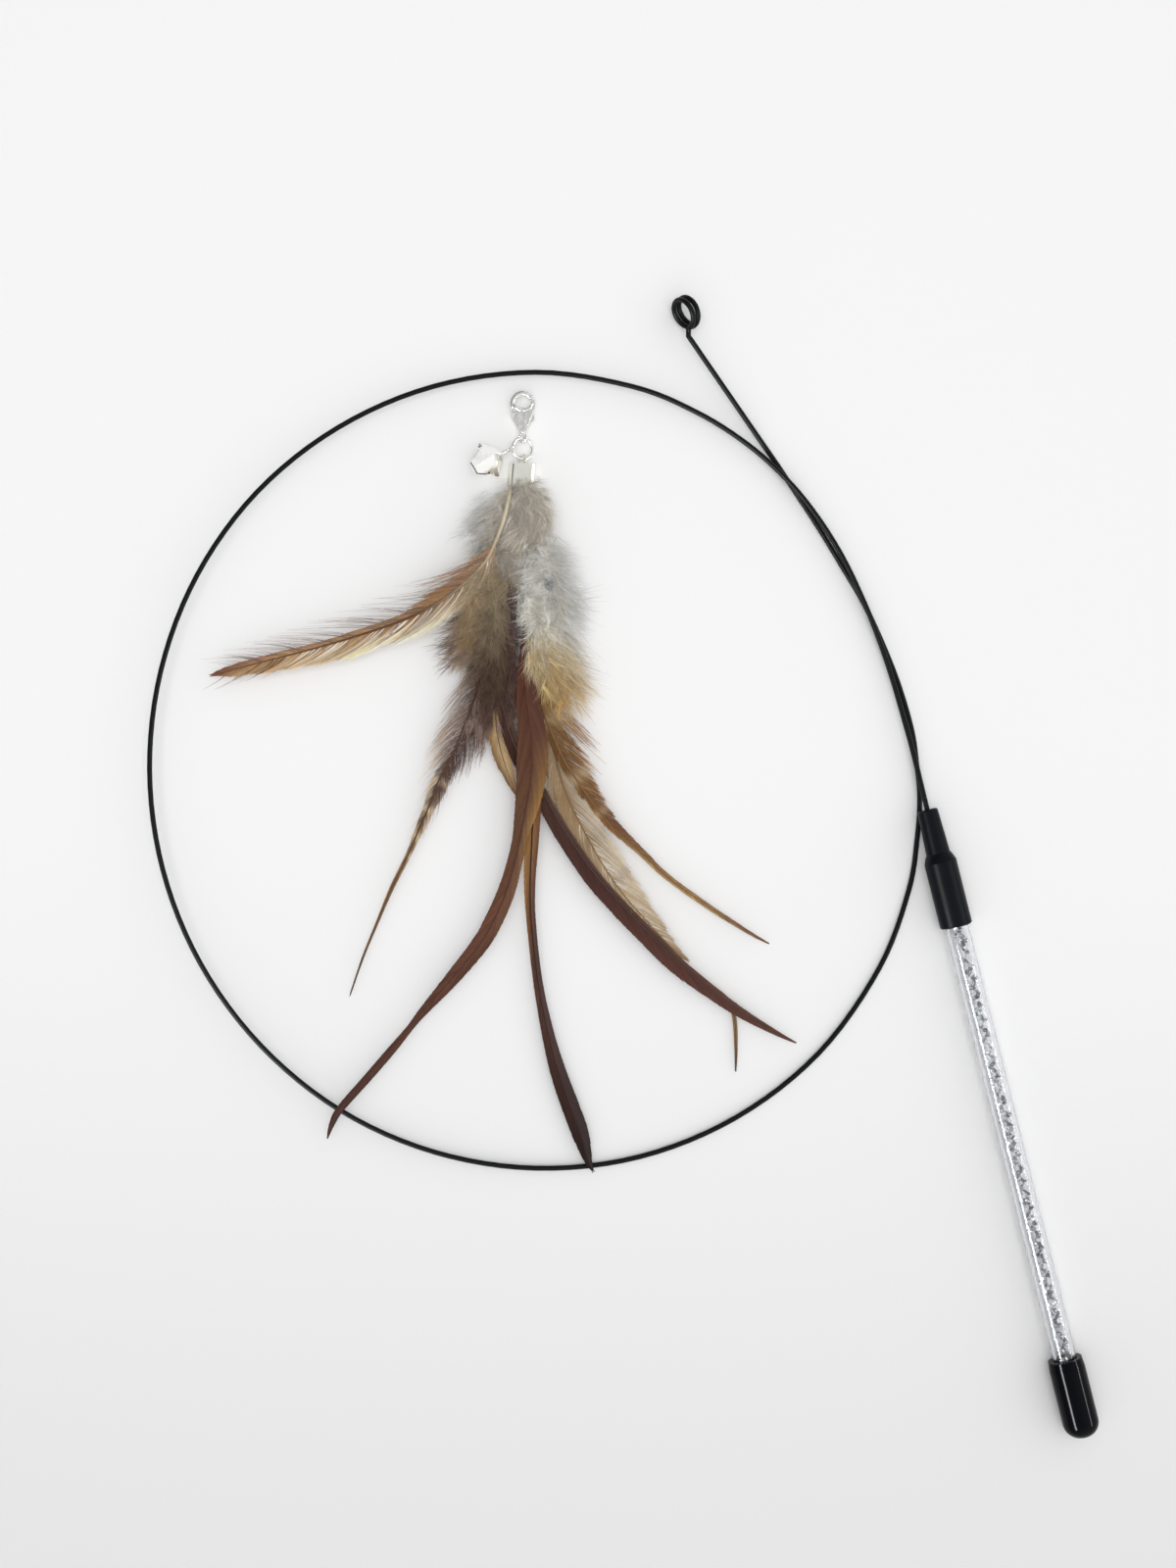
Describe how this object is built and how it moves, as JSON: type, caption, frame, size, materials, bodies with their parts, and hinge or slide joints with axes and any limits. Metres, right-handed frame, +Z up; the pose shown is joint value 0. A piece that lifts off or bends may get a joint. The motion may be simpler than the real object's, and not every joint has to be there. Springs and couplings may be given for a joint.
{
  "type": "cat teaser wand",
  "caption": "Cat teaser wand: clear tube grip, coiled spring wire with a wound eye, and a feather lure with bell on a lobster clasp.",
  "frame": {"origin": "middle of the plan's box, on the floor that the wand lies on", "axes": "+X to the right of the picture, +Y up the picture, +Z up from the floor"},
  "size_m": [0.2546, 0.3064, 0.0124],
  "materials": {
    "black_vinyl": "gloss",
    "clear_tube": "clear gloss",
    "black_sleeve": "satin gloss",
    "foil": "crinkled foil",
    "anchor_plastic": "matt",
    "coated_wire": "satin",
    "bright_metal": "bright plate",
    "spring_steel": "plain",
    "bell_metal": "bright plate",
    "crimp_metal": "bright plate",
    "gold_vane": "feather",
    "barred_vane": "feather",
    "curl_vane": "feather",
    "straight_vane": "feather",
    "sweep_vane": "feather",
    "cream_vane": "feather",
    "amber_vane": "feather",
    "short_vane": "feather",
    "hidden_vane": "feather",
    "down_crown": "down",
    "down_left": "down",
    "down_right": "down",
    "down_under": "down"
  },
  "bodies": {
    "wand": {"end_cap": "black_vinyl", "grip_tube": "clear_tube", "ferrule_sleeve": "black_sleeve", "tinsel_ribbon": "foil", "wire_anchor": "anchor_plastic", "wand_wire": "coated_wire"},
    "clasp": {"clasp_body": "bright_metal", "clasp_pin": "bright_metal", "clasp_spring": "spring_steel"},
    "lever": {"clasp_lever": "bright_metal"},
    "ring": {"jump_ring": "bright_metal"},
    "bell": {"bell_shell": "bell_metal", "bell_loop": "bright_metal"},
    "clapper": {"bell_clapper": "spring_steel"},
    "feathers": {"crimp_clamp": "crimp_metal", "gold_feather": "gold_vane", "barred_feather": "barred_vane", "curl_feather": "curl_vane", "straight_feather": "straight_vane", "sweep_feather": "sweep_vane", "cream_feather": "cream_vane", "amber_feather": "amber_vane", "short_feather": "short_vane", "hidden_feather": "hidden_vane", "down_crown": "down_crown", "down_left": "down_left", "down_right": "down_right", "down_under": "down_under"}
  },
  "joints": [
    {"name": "lure_lift", "type": "slide", "parent": "wand", "child": "clasp", "axis": [0, 0, 1], "range_m": [0, 0.12]},
    {"name": "lever_open", "type": "hinge", "parent": "clasp", "child": "lever", "pos_m": [-0.02729, 0.11929, 0.0016], "axis": [0, 0, 1], "range_deg": [0, 20], "stiffness_Nm_per_rad": 0.004, "springref_deg": -20.05, "deforming": ["clasp_spring"]},
    {"name": "ring_swing", "type": "hinge", "parent": "clasp", "child": "ring", "pos_m": [-0.02729, 0.11544, 0.0016], "axis": [0.9272, 0, -0.3746], "range_deg": [-20, 0]},
    {"name": "bell_swing", "type": "hinge", "parent": "ring", "child": "bell", "pos_m": [-0.02993, 0.11259, 0.00267], "axis": [0, 1, 0], "range_deg": [0, 40]},
    {"name": "clapper_drop", "type": "slide", "parent": "bell", "child": "clapper", "axis": [0, 0, 1], "range_m": [0, 0.0024]},
    {"name": "feather_swing", "type": "hinge", "parent": "ring", "child": "feathers", "pos_m": [-0.02729, 0.10974, 0.0016], "axis": [0.9272, 0, -0.3746], "range_deg": [-15, 0]}
  ]
}
